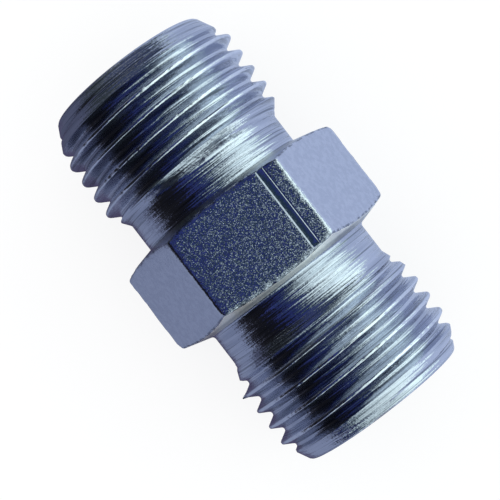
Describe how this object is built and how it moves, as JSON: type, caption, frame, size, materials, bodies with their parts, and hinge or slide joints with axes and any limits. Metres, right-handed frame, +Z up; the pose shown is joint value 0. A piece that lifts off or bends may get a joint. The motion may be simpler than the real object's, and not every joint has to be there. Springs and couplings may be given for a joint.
{
  "type": "union fitting",
  "caption": "Straight threaded union for hydraulic tube: hexagon in the middle, a male thread, sealing cone and tube socket at each end, bored right through.",
  "frame": {"origin": "middle of the body, on the axis of the bore", "axes": "+X along the bore towards the end with the plain neck at thread-root size, +Z up from the flat that it rests on"},
  "size_m": [0.032, 0.0196, 0.017],
  "materials": {
    "zinc_plated_steel": "turned steel with bright blue-white zinc plating, worn on its edges"
  },
  "bodies": {
    "root": {"union_body": "zinc_plated_steel"}
  },
  "joints": []
}
